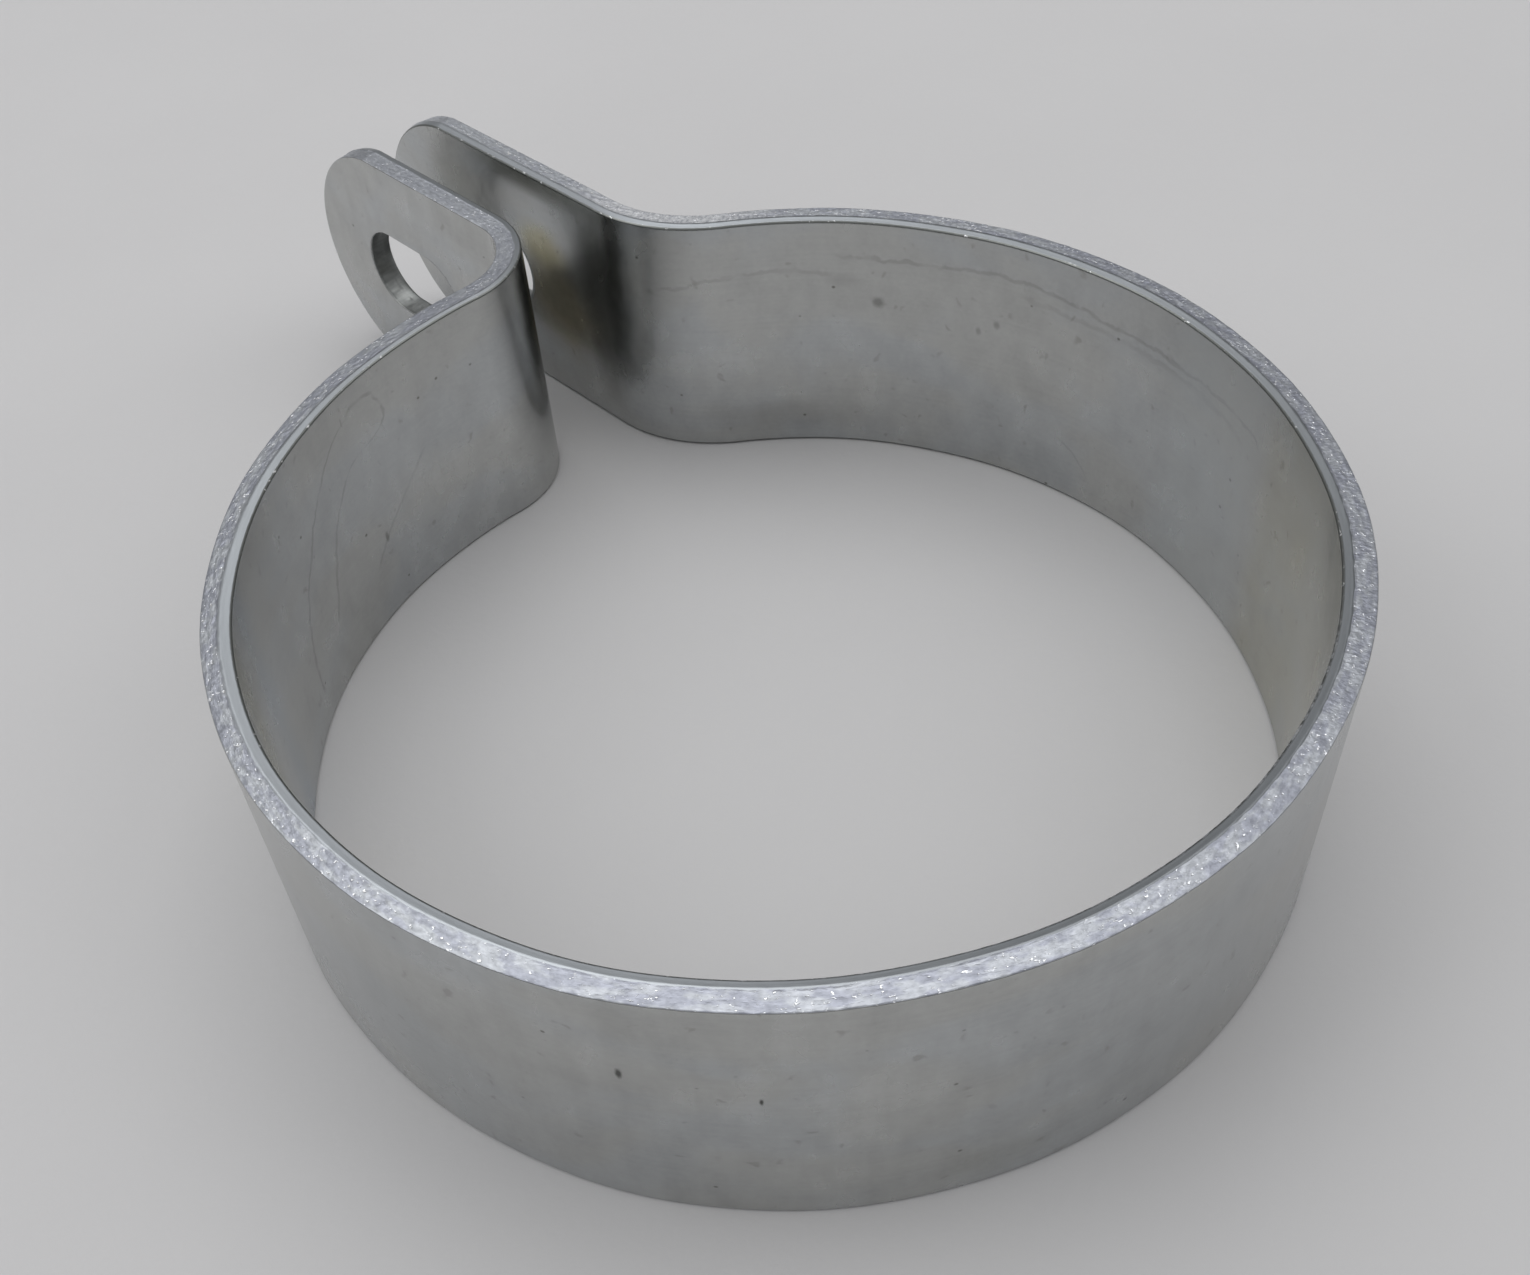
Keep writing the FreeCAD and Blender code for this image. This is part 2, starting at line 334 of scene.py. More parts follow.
def land_share(s):
    """Width of the burnished land along the strap, as a share of its usual width."""
    stops, shares = zip(*LAND_WIDTHS)
    return np.interp(s, np.array(stops) * MM, shares)


def with_land_share(inset, depth, share):
    """One row of the edge's profile, moved so that the land takes that share of its usual width."""
    usual = LAND_END - INNER_CORNER
    if depth <= INNER_CORNER or depth >= BREAK_END:
        moved_depth = np.full(len(share), depth)
    elif depth <= LAND_END:
        moved_depth = INNER_CORNER + (depth - INNER_CORNER) * share
    else:
        torn_part = (BREAK_END - depth) / (BREAK_END - LAND_END)
        moved_depth = BREAK_END - torn_part * (BREAK_END - INNER_CORNER - usual * share)
    if inset >= FACE_LOOP:
        return np.full(len(share), inset), moved_depth
    before_end = min(max((LAND_END - depth) / usual, 0.0), 1.0)
    return inset + usual * math.tan(LAND_TILT) * (share - 1) * before_end, moved_depth


def break_share(s):
    """How torn the edge is: smoother round the punched ear tips than along the sheared ring."""
    left = np.clip((s - 22 * MM) / (120 * MM), 0, 1)
    right = np.clip((LINE.length - 18 * MM - s) / (26 * MM), 0, 1)
    share = np.minimum(left, right)
    return 0.2 + 0.8 * share * share * (3 - 2 * share)


def break_relief(along, depth):
    """Height of the torn metal, from a few sizes of grain."""
    coarse = value_noise(along, depth, 2.1 * MM, 0.7 * MM, 11)
    grain = value_noise(along, depth, 0.85 * MM, 0.32 * MM, 12)
    fine = value_noise(along, depth, 0.3 * MM, 0.2 * MM, 13)
    return 0.25 * coarse + 0.4 * grain + 0.35 * fine


def build_edges(builder):
    """The sheared edge all round the flat pattern. Returns its first and last rows of vertices."""
    along = perimeter_distance()
    base = outline(0.0)
    inner = outline(FACE_MARGIN)
    torn = break_share(base[:, 0])
    land = land_share(base[:, 0])
    rows = []
    for inset, depth, zone in edge_profile():
        moved, moved_depth = with_land_share(inset, depth, land)
        if np.isclose(depth, (LAND_END, BREAK_START)).any():
            wobble = value_noise(along, along * 0 + depth, 0.8 * MM, 5 * MM, 21)
            moved_depth = moved_depth + wobble * LAND_LINE_WOBBLE
        if BREAK_START <= depth < THICKNESS:
            relief = break_relief(along, moved_depth) * BREAK_ROUGHNESS * torn
            moved = np.maximum(moved - relief, LEAST_INSET)
        points = np.empty((len(along), 3))
        share = moved / FACE_MARGIN
        points[:, :2] = base + (inner - base) * share[:, None]
        points[:, 2] = moved_depth
        rows.append((builder.add(points), zone))
    for (a, _), (b, zone) in zip(rows, rows[1:]):
        builder.quads(a, b, zone, closed=True)
    return rows[0][0], rows[-1][0]


def build_faces(builder, edge_in, edge_out):
    """Both broad faces, with a slot in each ear."""
    n_long = N_EAR_EDGE * 2 + N_MAIN + 1
    loop = outline(FACE_MARGIN)
    total = len(loop)
    left_split, right_split = N_EAR_EDGE, N_EAR_EDGE + N_MAIN
    bottom_start = n_long + N_TIP - 1
    top = np.arange(left_split, right_split + 1)
    bottom = bottom_start + (n_long - 1) - top
    z_edge = HALF_WIDTH - FACE_MARGIN
    levels = np.linspace(z_edge, -z_edge, FACE_ROWS + 1)[1:-1]
    slot_walls = {}
    for side, edge, depth in ((FACE_IN, edge_in, 0.0), (FACE_OUT, edge_out, THICKNESS)):
        rows = [edge[top]]
        for z in levels:
            s = loop[top, 0]
            rows.append(builder.add(np.stack([s, np.full(len(s), z), np.full(len(s), depth)], 1)))
        rows.append(edge[bottom])
        for a, b in zip(rows, rows[1:]):
            builder.quads(a, b, side, flip=side == FACE_IN)
        split_left = np.array([row[0] for row in rows])
        split_right = np.array([row[-1] for row in rows])
        bottom_left_end = bottom_start + (n_long - 1) - left_split
        bottom_right_end = bottom_start + (n_long - 1) - right_split
        around_left = np.concatenate(
            [edge[np.arange(bottom_left_end, total)], edge[: left_split + 1], split_left[1:-1]]
        )
        around_right = np.concatenate(
            [edge[np.arange(right_split, bottom_right_end + 1)], split_right[1:-1][::-1]]
        )
        for ear, ring, centre in (
            ("left", around_left, SLOT_SETBACK),
            ("right", around_right, LINE.length - SLOT_SETBACK),
        ):
            flat = np.concatenate(builder.flat)[ring][:, :2]
            inner = slot_outline(centre, flat, SLOT_MARGIN)
            previous = ring
            for number in range(1, EAR_RINGS + 1):
                share = (number / EAR_RINGS) ** EAR_RING_CROWDING
                between = flat * (1 - share) + inner * share
                row = builder.add(np.column_stack([between, np.full(len(ring), depth)]))
                builder.quads(previous, row, side, closed=True, flip=side == FACE_IN)
                previous = row
            slot_walls.setdefault(ear, []).append((previous, flat, centre))
    return slot_walls


def wall_profile():
    """(extra width, depth, whether it is torn) of a slot's wall, from the pipe side outward, in metres."""
    rows = [(wider, depth, False) for wider, depth in WALL_LAND]
    first, last = WALL_TORN_DEPTHS
    for depth in np.linspace(first, last, WALL_TORN_ROWS):
        rows.append((WALL_TORN_STEP + WALL_TORN_TAPER * (depth - first), depth, True))
    rows += [(*WALL_CORNER, False), (WALL_EXIT, THICKNESS / MM, False)]
    return [(wider * MM, depth * MM, torn) for wider, depth, torn in rows]


def build_slot_walls(builder, slot_walls):
    """A punched wall through each slot: rounded at the pipe side, smooth, then torn and slightly wider."""
    for number, ends in enumerate(slot_walls.values()):
        (first, flat, centre), (last, _, _) = ends
        base = slot_outline(centre, flat, 0.0)
        grown = slot_outline(centre, flat, SLOT_MARGIN)
        around = np.arctan2(base[:, 1], base[:, 0] - centre) * 9 * MM
        previous = first
        for wider, depth, torn in wall_profile():
            grow = np.full(len(base), wider)
            if torn:
                rough = value_noise(around, around * 0 + depth, 0.7 * MM, 0.5 * MM, 31 + number)
                grow = grow + WALL_ROUGHNESS * MM * rough
            points = base + (grown - base) * (grow / SLOT_MARGIN)[:, None]
            row = builder.add(np.column_stack([points, np.full(len(base), depth)]))
            builder.quads(previous, row, WALL, closed=True, flip=True)
            previous = row
        builder.quads(previous, last, FACE_OUT, closed=True, flip=True)


def waviness(s):
    """Slight waves such as bending rolls leave, across both faces alike."""
    from_left = np.clip((s - EAR_SPLIT) / ROLL_FADE, 0, 1)
    from_right = np.clip((LINE.length - EAR_SPLIT - s) / ROLL_FADE, 0, 1)
    fade = from_left * from_right
    wave = sum(height * np.sin(s / (reach * MM) + phase) for height, reach, phase in ROLL_WAVES)
    return wave * MM * fade * fade * (3 - 2 * fade)


def build_strap():
    """The whole strap as one closed mesh, bent from its flat pattern."""
    builder = Builder()
    edge_in, edge_out = build_edges(builder)
    slot_walls = build_faces(builder, edge_in, edge_out)
    build_slot_walls(builder, slot_walls)
    flat = np.concatenate(builder.flat)
    point, back = LINE.at(flat[:, 0])
    depth = flat[:, 2] + waviness(flat[:, 0])
    plan = point + back * depth[:, None]
    co = np.column_stack([plan, flat[:, 1]])
    faces = np.concatenate(builder.faces)
    zones = np.concatenate(builder.zones)
    mesh = bpy.data.meshes.new("strap")
    mesh.vertices.add(len(co))
    mesh.vertices.foreach_set("co", co.ravel())
    mesh.loops.add(len(faces) * 4)
    mesh.loops.foreach_set("vertex_index", faces.ravel())
    mesh.polygons.add(len(faces))
    mesh.polygons.foreach_set("loop_start", np.arange(len(faces)) * 4)
    mesh.polygons.foreach_set("material_index", zones)
    mesh.polygons.foreach_set("use_smooth", np.ones(len(faces), bool))
    mesh.update(calc_edges=True)
    mesh.validate()
    pattern = mesh.attributes.new("flat_pattern", "FLOAT_VECTOR", "POINT")
    pattern.data.foreach_set("vector", (flat / MM).ravel())
    strap = bpy.data.objects.new("strap", mesh)
    bpy.context.scene.collection.objects.link(strap)
    return strap


# ---------------------------------------------------------------- materials


class Nodes:
    """Short calls for building a node tree."""

    def __init__(self, name):
        self.material = bpy.data.materials.new(name)
        self.material.use_nodes = True
        self.tree = self.material.node_tree
        self.tree.nodes.clear()
        self.shader = self.tree.nodes.new("ShaderNodeBsdfPrincipled")
        output = self.tree.nodes.new("ShaderNodeOutputMaterial")
        self.tree.links.new(self.shader.outputs[0], output.inputs[0])

    def metal(self, colour, roughness, normal):
        """Finish the material as bare metal."""
        self.link(colour, self.shader.inputs["Base Color"])
        self.shader.inputs["Metallic"].default_value = 1.0
        self.put(roughness, self.shader.inputs["Roughness"])
        self.link(normal, self.shader.inputs["Normal"])
        return self.material

    def link(self, source, socket):
        self.tree.links.new(source, socket)

    def put(self, value, socket):
        if isinstance(value, bpy.types.NodeSocket):
            self.link(value, socket)
        else:
            socket.default_value = value

    def math(self, operation, a, b=0.0, clamp=False):
        node = self.tree.nodes.new("ShaderNodeMath")
        node.operation = operation
        node.use_clamp = clamp
        self.put(a, node.inputs[0])
        self.put(b, node.inputs[1])
        return node.outputs[0]

    def times(self, a, b):
        return self.math("MULTIPLY", a, b)

    def plus(self, a, b):
        return self.math("ADD", a, b)

    def minus(self, a, b):
        return self.math("SUBTRACT", a, b)

    def pattern(self):
        """Flat-pattern coordinates in millimetres: along the strap, across it, and depth."""
        node = self.tree.nodes.new("ShaderNodeAttribute")
        node.attribute_name = "flat_pattern"
        return node.outputs["Vector"]

    def split(self, vector):
        node = self.tree.nodes.new("ShaderNodeSeparateXYZ")
        self.link(vector, node.inputs[0])
        return node.outputs

    def scaled(self, vector, scale):
        node = self.tree.nodes.new("ShaderNodeVectorMath")
        node.operation = "MULTIPLY"
        self.link(vector, node.inputs[0])
        node.inputs[1].default_value = scale
        return node.outputs[0]

    def shifted(self, vector, offset):
        node = self.tree.nodes.new("ShaderNodeVectorMath")
        node.operation = "ADD"
        self.link(vector, node.inputs[0])
        node.inputs[1].default_value = offset
        return node.outputs[0]

    def noise(self, vector, scale, detail=2.0, roughness=0.5, distortion=0.0):
        node = self.tree.nodes.new("ShaderNodeTexNoise")
        self.link(vector, node.inputs["Vector"])
        node.inputs["Scale"].default_value = scale
        node.inputs["Detail"].default_value = detail
        node.inputs["Roughness"].default_value = roughness
        node.inputs["Distortion"].default_value = distortion
        return node.outputs["Fac"]

    def cells(self, vector, output="Distance"):
        node = self.tree.nodes.new("ShaderNodeTexVoronoi")
        self.link(vector, node.inputs["Vector"])
        node.inputs["Scale"].default_value = 1.0
        return node.outputs[output]

    def spread(self, value, low, high, to_low=0.0, to_high=1.0):
        """Smooth step of a value from low to high; limits given high first step down instead."""
        if low > high:
            low, high, to_low, to_high = high, low, to_high, to_low
        node = self.tree.nodes.new("ShaderNodeMapRange")
        node.interpolation_type = "SMOOTHSTEP"
        self.put(value, node.inputs[0])
        for number, amount in enumerate((low, high, to_low, to_high)):
            node.inputs[number + 1].default_value = amount
        return node.outputs[0]

    def ramp(self, value, stops):
        node = self.tree.nodes.new("ShaderNodeValToRGB")
        self.put(value, node.inputs[0])
        elements = node.color_ramp.elements
        while len(elements) < len(stops):
            elements.new(0.5)
        for element, (position, colour) in zip(elements, stops):
            element.position = position
            element.color = (*colour, 1.0)
        return node.outputs[0]

    def mix(self, amount, a, b, blend="MIX"):
        node = self.tree.nodes.new("ShaderNodeMix")
        node.data_type = "RGBA"
        node.blend_type = blend
        self.put(amount, node.inputs["Factor"])
        for value, socket in ((a, node.inputs[6]), (b, node.inputs[7])):
            self.put((*value, 1.0) if isinstance(value, tuple) else value, socket)
        return node.outputs[2]

    def curve(self, value, points):
        """A smooth curve through (value, result) points, level beyond its ends."""
        starts, results = zip(*points)
        low, high = min(results), max(results)
        along = self.tree.nodes.new("ShaderNodeMapRange")
        self.put(value, along.inputs[0])
        along.inputs[1].default_value, along.inputs[2].default_value = starts[0], starts[-1]
        node = self.tree.nodes.new("ShaderNodeFloatCurve")
        self.link(along.outputs[0], node.inputs["Value"])
        places = [
            ((start - starts[0]) / (starts[-1] - starts[0]), (result - low) / (high - low))
            for start, result in points
        ]
        line = node.mapping.curves[0]
        line.points[0].location, line.points[1].location = places[0], places[-1]
        for place in places[1:-1]:
            line.points.new(*place)
        node.mapping.update()
        return self.plus(self.times(node.outputs[0], high - low), low)

    def bump(self, height, distance, strength=1.0, after=None):
        node = self.tree.nodes.new("ShaderNodeBump")
        node.inputs["Strength"].default_value = strength
        node.inputs["Distance"].default_value = distance
        self.put(height, node.inputs["Height"])
        if after is not None:
            self.link(after, node.inputs["Normal"])
        return node.outputs[0]


def zinc_face(name, marks):
    """Satin zinc on rolled strip: cool and warm clouds, faint mill lines, smudges, and marks of its own."""
    n = Nodes(name)
    flat = n.pattern()
    clouds = n.noise(n.scaled(flat, (0.045, 0.06, 0.0)), 1.0, 3.0, 0.55, 0.4)
    mottle = n.noise(n.scaled(flat, (0.32, 0.2, 0.0)), 1.0, 2.0, 0.55)
    mill = n.noise(n.scaled(flat, (0.05, 2.6, 0.0)), 1.0, 2.0, 0.5)
    grain = n.noise(flat, 1.8, 1.0, 0.5)
    tone = n.plus(n.times(clouds, 0.42), n.times(mottle, 0.36))
    tone = n.plus(tone, n.times(mill, 0.10))
    tone = n.plus(tone, n.times(grain, 0.12))
    colour = n.ramp(
        tone,
        [(0.34, (0.43, 0.44, 0.438)), (0.5, (0.5, 0.51, 0.508)), (0.66, (0.565, 0.577, 0.576))],
    )
    hue = n.noise(n.shifted(n.scaled(flat, (0.05, 0.09, 0.0)), (31.0, 7.0, 0.0)), 1.0, 2.0, 0.5, 0.6)
    colour = n.mix(n.spread(hue, 0.42, 0.62, 0.0, 0.4), colour, (1.0, 0.975, 0.93), "MULTIPLY")
    colour = n.mix(n.spread(hue, 0.55, 0.36, 0.0, 0.32), colour, (0.955, 0.985, 1.03), "MULTIPLY")
    smudge = n.noise(n.shifted(n.scaled(flat, (0.55, 0.5, 0.0)), (5.0, 60.0, 0.0)), 1.0, 2.0, 0.5, 0.4)
    colour = n.mix(n.spread(smudge, 0.66, 0.76, 0.0, 0.45), colour, (0.30, 0.295, 0.275))
    cell = n.scaled(flat, (0.26, 0.3, 0.0))
    chosen = n.spread(n.split(n.cells(cell, "Color"))[0], 0.52, 0.56)
    speck = n.times(n.spread(n.cells(cell), 0.075, 0.03), chosen)
    colour = n.mix(n.times(speck, 0.7), colour, (0.12, 0.115, 0.10))
    rough = n.plus(n.times(clouds, 0.5), n.times(mottle, 0.5))
    rough = n.spread(rough, 0.32, 0.68, 0.19, 0.29)
    return n.metal(marks(n, colour, flat), rough, n.bump(mill, 0.002 * MM, 0.6))


def stretch(n, flat, low, high, soft):
    """1 along part of the strap's length, fading over a soft distance at both ends."""
    s, _, _ = n.split(flat)
    return n.times(n.spread(s, low - soft, low + soft), n.spread(s, high + soft, high - soft))


def patch(n, flat, s, z, reach_s, reach_z, ragged=0.5):
    """A soft ragged spot round (s, z)."""
    local = n.scaled(n.shifted(flat, (-s, -z, 0.0)), (1 / reach_s, 1 / reach_z, 0.0))
    node = n.tree.nodes.new("ShaderNodeVectorMath")
    node.operation = "LENGTH"
    n.link(local, node.inputs[0])
    edge = n.times(n.minus(n.noise(local, 1.6, 2.0, 0.5), 0.5), ragged)
    return n.spread(n.plus(node.outputs["Value"], edge), 1.2, 0.3)


def thin_line(n, flat, points, along_s, width, wobble):
    """A dried water line through (s, z) points, which run along the strap or across it."""
    s, z, _ = n.split(flat)
    run, side = (s, z) if along_s else (z, s)
    pairs = sorted(point if along_s else point[::-1] for point in points)
    sway = n.noise(n.scaled(flat, (0.45, 0.45, 0.0)), 1.0, 4.0, 0.65)
    sway = n.times(n.minus(sway, 0.5), wobble)
    off = n.math("ABSOLUTE", n.minus(n.plus(side, sway), n.curve(run, pairs)))
    line = n.spread(off, width, width * 0.3)
    first, last = pairs[0][0], pairs[-1][0]
    line = n.times(line, n.spread(run, first - 0.2, first + 1.0))
    line = n.times(line, n.spread(run, last + 0.2, last - 1.0))
    faded = n.spread(n.noise(n.scaled(flat, (0.4, 0.4, 0.0)), 1.0, 2.0, 0.5), 0.3, 0.55, 0.35, 1.0)
    return n.times(line, faded)


# Dried water lines on the pipe side: whether they run along the strap, width, wobble, strength,
# and the (s, z) points they pass through, all in millimetres of the flat pattern.
WATER_LINES = [
    (
        False, 0.36, 1.5, 0.32,
        [
            (78.0, 12.6), (81.9, 11.0), (85.0, 8.6), (88.1, 5.7), (91.0, 2.2), (93.4, -0.7),
            (96.0, -7.0), (96.4, -12.0),
        ],
    ),
    (
        False, 0.34, 1.5, 0.28,
        [
            (74.2, 12.6), (73.0, 9.3), (75.4, 7.6), (79.2, 7.0), (82.4, 4.5), (84.8, 1.8),
            (86.4, -1.5), (89.3, -8.0),
        ],
    ),
    (True, 0.34, 0.6, 0.32, [(73.6, 12.4), (76.0, 13.2), (78.6, 12.4)]),
    (False, 0.4, 1.4, 0.2, [(68.4, 1.8), (72.0, -1.4), (77.6, -5.9), (80.4, -8.6)]),
    (
        True, 0.36, 1.8, 0.3,
        [
            (276.0, 8.4), (281.0, 10.0), (290.0, 10.1), (299.0, 10.2), (306.0, 11.0), (315.0, 11.5),
            (323.0, 11.0), (334.0, 11.2),
        ],
    ),
    (True, 0.5, 1.6, 0.16, [(279.0, 7.4), (288.0, 8.8), (300.0, 9.0), (312.0, 9.6)]),
    (True, 0.4, 1.6, 0.2, [(334.0, 8.6), (341.0, 9.2), (348.0, 8.7), (352.0, 7.8), (357.0, 6.6)]),
    (True, 0.3, 1.0, 0.16, [(301.0, -12.0), (303.0, -9.4), (306.0, -7.6)]),
]

# Small dark smudges on the pipe side: s, z, reach along, reach across, strength.
SOOT = [
    (328.8, 5.2, 0.9, 0.8, 0.55),
    (314.4, 4.9, 0.5, 0.6, 0.4),
    (316.6, 3.5, 0.4, 0.6, 0.35),
    (333.0, 8.0, 3.0, 1.0, 0.12),
    (77.3, -5.4, 0.35, 0.8, 0.55),
]

# Stains in the wide bend and on the right ear's gap side: s, z, reach along, reach across,
# strength, tint. They also stand in for dark reflections there.
EAR_STAINS_AND_DARK_REFLECTIONS = [
    (364.4, 1.5, 4.6, 14.5, 0.85, (0.34, 0.33, 0.29)),
    (373.0, -1.5, 8.5, 8.0, 0.9, (0.78, 0.69, 0.48)),
    (375.5, 6.0, 5.0, 3.6, 0.9, (0.97, 0.9, 0.66)),
    (375.0, 15.0, 14.0, 2.2, 0.8, (0.5, 0.5, 0.45)),
    (393.0, 4.0, 9.0, 9.0, 0.5, (0.86, 0.85, 0.78)),
]

# Stretches of the ring's pipe side with a slight tint: from s, to s, softness, tint.
TINTED_STRETCHES = [
    (108.0, 112.0, 2.5, (0.9, 0.94, 0.99)),
    (116.0, 123.0, 2.5, (0.97, 0.95, 0.86)),
]

# Pits in the outer face's zinc: s, z, reach along.
PITS = [(169.9, 5.3, 0.32), (180.4, 3.0, 0.2)]
PIT_TALLNESS = 2.6

# Brightness of the burnished land by distance along the strap. It is matched to the photo, and stands
# in for the room's reflections as well as for any real wear.
LAND_SHEEN_AND_POLISH = [
    (0, 1.0), (48, 0.85), (62, 0.72), (85, 0.86), (110, 1.16), (150, 1.2), (190, 0.85),
    (220, 0.56), (245, 0.54), (270, 0.6), (330, 0.76), (352, 0.95), (368, 1.16), (408, 1.2),
]


def pipe_side_marks(n, colour, flat):
    """Dried water lines, small dark smudges, tinted stretches, and stains with painted dark reflections
    towards the right ear.
    """
    for along_s, width, wobble, strength, points in WATER_LINES:
        line = thin_line(n, flat, points, along_s, width, wobble)
        colour = n.mix(n.times(line, strength), colour, (0.2, 0.2, 0.185))
    for s, z, reach_s, reach_z, strength in SOOT:
        spot = patch(n, flat, s, z, reach_s, reach_z)
        colour = n.mix(n.times(spot, strength), colour, (0.14, 0.14, 0.13))
    dulled = patch(n, flat, 341.0, -11.6, 14.0, 2.6)
    colour = n.mix(n.times(dulled, 0.8), colour, (0.86, 0.86, 0.86), "MULTIPLY")
    brown = stretch(n, flat, 246.0, 274.0, 3.0)
    brown = n.times(brown, n.noise(n.scaled(flat, (0.12, 0.1, 0.0)), 1.0, 3.0, 0.6))
    colour = n.mix(n.math("MULTIPLY", brown, 1.2, clamp=True), colour, (0.95, 0.92, 0.8), "MULTIPLY")
    pale = n.times(stretch(n, flat, 276.0, 290.0, 3.0), 0.35)
    colour = n.mix(pale, colour, (0.54, 0.57, 0.58))
    for low, high, soft, tint in TINTED_STRETCHES:
        colour = n.mix(stretch(n, flat, low, high, soft), colour, tint, "MULTIPLY")
    # Stains together with painted dark reflections.
    for s, z, reach_s, reach_z, strength, tint in EAR_STAINS_AND_DARK_REFLECTIONS:
        tinted_patch = patch(n, flat, s, z, reach_s, reach_z, 0.35)
        colour = n.mix(n.times(tinted_patch, strength), colour, tint, "MULTIPLY")
    return colour


def outer_marks(n, colour, flat):
    """Faint streaks across the strap, water stains low on the front, and two pits in the zinc."""
    streak = n.noise(n.scaled(flat, (0.55, 0.05, 0.0)), 1.0, 3.0, 0.6)
    colour = n.mix(n.spread(streak, 0.62, 0.38), colour, (0.972, 0.972, 0.968), "MULTIPLY")
    tinted_patch = patch(n, flat, 199.0, -12.0, 6.0, 2.6, 1.2)
    colour = n.mix(n.times(tinted_patch, 0.5), colour, (0.86, 0.85, 0.8), "MULTIPLY")
    for s, z, reach in PITS:
        pit = patch(n, flat, s, z, reach, reach * PIT_TALLNESS)
        colour = n.mix(n.times(pit, 0.9), colour, (0.06, 0.06, 0.055))
    return colour


def sheared_land():
    """The burnished land, its brightness along the strap painted reflection together with wear: its rolled
    rim is painted dark reflection with painted glints, and painted bright reflection round the front.
    """
    n = Nodes("sheared_land")
    flat = n.pattern()
    s, _, depth = n.split(flat)
    streak = n.noise(n.scaled(flat, (0.3, 1.0, 4.0)), 1.0, 3.0, 0.6)
    colour = n.ramp(streak, [(0.3, (0.366, 0.388, 0.409)), (0.7, (0.408, 0.433, 0.456))])
    # Painted reflection along the land, together with its wear.
    sheen_and_polish = n.times(n.curve(s, LAND_SHEEN_AND_POLISH), 0.5)
    sheen_and_polish = n.ramp(sheen_and_polish, [(0.0, (0.0, 0.0, 0.0)), (1.0, (2.0, 2.0, 2.0))])
    colour = n.mix(1.0, colour, sheen_and_polish, "MULTIPLY")
    # Painted light on the rolled rim: a dark reflection, a bright reflection round the front, and glints.
    front = n.times(n.spread(s, 176.0, 196.0), n.spread(s, 250.0, 236.0))
    chips_and_glints = n.noise(n.scaled(flat, (1.1, 0.0, 2.2)), 1.0, 3.0, 0.65)
    painted_front_sheen = n.times(front, n.spread(chips_and_glints, 0.4, 0.6))
    painted_rim_light = n.mix(painted_front_sheen, (0.24, 0.25, 0.24), (0.8, 0.82, 0.85))
    painted_rim_light = n.mix(n.spread(chips_and_glints, 0.6, 0.68), painted_rim_light, (0.95, 0.96, 0.97))
    edge = n.spread(n.minus(depth, n.times(chips_and_glints, 0.14)), 0.19, 0.05)
    normal = n.bump(streak, 0.004 * MM, 0.6)
    normal = n.bump(n.times(chips_and_glints, edge), 0.06 * MM, 0.6, after=normal)
    return n.metal(n.mix(edge, colour, painted_rim_light), 0.3, normal)


def sheared_break():
    """The torn metal: grain dragged along the strap in places and ribbed across it in others, with glints,
    painted sheen in stretches and painted glints in the wide bend.
    """
    n = Nodes("sheared_break")
    flat = n.pattern()
    s, _, _ = n.split(flat)
    dragged = n.noise(n.scaled(flat, (0.45, 1.0, 1.0)), 2.6, 2.0, 0.55)
    ribbed = n.noise(n.scaled(flat, (1.1, 1.0, 0.7)), 2.6, 2.0, 0.55)
    across = n.times(n.spread(s, 212.0, 250.0), n.spread(s, 372.0, 350.0))
    dragged = n.times(dragged, n.minus(1.0, across))
    pebble = n.plus(n.times(ribbed, across), dragged)
    grit = n.noise(flat, 7.0, 1.0, 0.5)
    facet = n.noise(n.shifted(n.scaled(flat, (2.4, 3.4, 3.8)), (9.0, 4.0, 0.0)), 1.0, 1.0, 0.5)
    facet = n.spread(facet, 0.64, 0.76)
    colour = n.ramp(pebble, [(0.3, (0.37, 0.386, 0.415)), (0.7, (0.54, 0.563, 0.605))])
    bruise = n.noise(n.shifted(n.scaled(flat, (0.55, 1.3, 1.3)), (2.0, 7.0, 0.0)), 1.0, 2.0, 0.5)
    on_ring = n.times(n.spread(s, 30.0, 80.0, 0.3, 1.0), n.spread(s, 395.0, 355.0, 0.3, 1.0))
    bruised = n.times(n.spread(bruise, 0.4, 0.6), on_ring)
    colour = n.mix(bruised, colour, (0.8, 0.8, 0.85), "MULTIPLY")
    colour = n.mix(facet, colour, (0.95, 0.97, 1.0))
    # Brightness by stretch, matched to the photo like the land's: painted sheen.
    colour = n.mix(n.spread(s, 290.0, 330.0), colour, (1.32, 1.32, 1.3), "MULTIPLY")
    colour = n.mix(stretch(n, flat, 66.0, 163.0, 14.0), colour, (1.12, 1.12, 1.1), "MULTIPLY")
    # Painted glints in the wide bend.
    bend_glints = n.times(stretch(n, flat, 343.0, 366.0, 6.0), n.spread(pebble, 0.35, 0.6, 0.3, 0.9))
    colour = n.mix(bend_glints, colour, (0.95, 0.96, 0.98))
    normal = n.bump(pebble, 0.075 * MM, 0.9)
    normal = n.bump(facet, 0.03 * MM, 0.8, after=normal)
    normal = n.bump(grit, 0.006 * MM, 0.8, after=normal)
    return n.metal(colour, n.minus(0.38, n.times(facet, 0.16)), normal)


